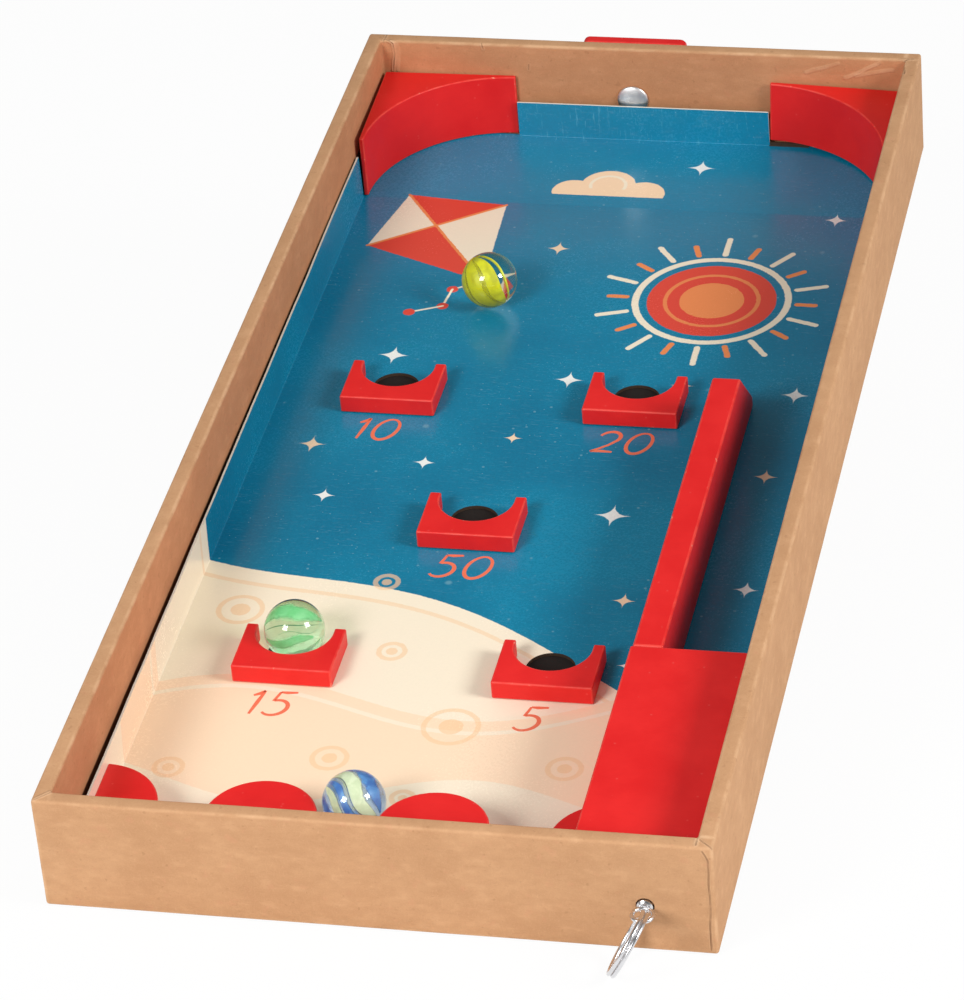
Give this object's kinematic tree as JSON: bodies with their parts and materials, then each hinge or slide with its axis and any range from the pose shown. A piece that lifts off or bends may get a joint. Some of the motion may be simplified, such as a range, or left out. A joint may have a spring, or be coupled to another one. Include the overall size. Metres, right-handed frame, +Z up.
{
  "type": "tabletop pinball game",
  "caption": "Tabletop pinball game in a cardboard tray, with scoring catchers, a sprung plunger with a pull ring, glass marbles and a leg behind that slopes it.",
  "frame": {"origin": "centre of the game's outline at the height of the table it stands on", "axes": "+Z up, +X to the player's right, -Y towards the player; the board slopes down towards -Y"},
  "size_m": [0.167, 0.4066, 0.0951],
  "materials": {
    "kraft_board": "matt, rough edges",
    "dark_card": "matt",
    "printed_card": "printed, satin",
    "red_paint": "painted, satin",
    "bright_steel": "polished",
    "yellow_glass": "clear, polished",
    "green_glass": "clear, polished",
    "blue_glass": "clear, polished"
  },
  "bodies": {
    "board": {"tray": "kraft_board", "backing_sheet": "dark_card", "playfield": "printed_card", "catcher_10": "red_paint", "catcher_20": "red_paint", "catcher_50": "red_paint", "catcher_15": "red_paint", "catcher_5": "red_paint", "corner_deflector_left": "red_paint", "corner_deflector_right": "red_paint", "lane_bar": "red_paint", "plunger_housing": "red_paint", "front_scallop": "red_paint", "plunger_spring": "bright_steel", "front_washer": "bright_steel", "leg_screw": "bright_steel", "leg_washer": "bright_steel", "leg_nut": "bright_steel"},
    "plunger": {"plunger_rod": "bright_steel", "plunger_striker": "red_paint", "spring_washer": "bright_steel"},
    "ring": {"pull_ring": "bright_steel"},
    "leg": {"stand_leg": "red_paint"},
    "yellow_marble": {"marble_yellow": "yellow_glass"},
    "green_marble": {"marble_green": "green_glass"},
    "blue_marble": {"marble_blue": "blue_glass"}
  },
  "joints": [
    {"name": "plunger_pull", "type": "slide", "parent": "board", "child": "plunger", "axis": [0, -0.9857, -0.1685], "range_m": [0, 0.035], "stiffness_N_per_m": 150, "springref_m": -0.01, "deforming": ["plunger_spring"]},
    {"name": "ring_swing", "type": "hinge", "parent": "plunger", "child": "ring", "pos_m": [0.0663, -0.18733, 0.01274], "axis": [-0.8824, 0.0264, 0.4698], "range_deg": [0, 40]},
    {"name": "leg_fold", "type": "hinge", "parent": "board", "child": "leg", "pos_m": [-0.003, 0.18817, 0.07874], "axis": [0, -0.9857, -0.1685], "range_deg": [0, 90]},
    {"name": "yellow_marble_lift", "type": "slide", "parent": "board", "child": "yellow_marble", "axis": [0, -0.1685, 0.9857], "range_m": [0, 0.06]},
    {"name": "green_marble_lift", "type": "slide", "parent": "board", "child": "green_marble", "axis": [0, -0.1685, 0.9857], "range_m": [0, 0.06]},
    {"name": "blue_marble_lift", "type": "slide", "parent": "board", "child": "blue_marble", "axis": [0, -0.1685, 0.9857], "range_m": [0, 0.06]}
  ]
}
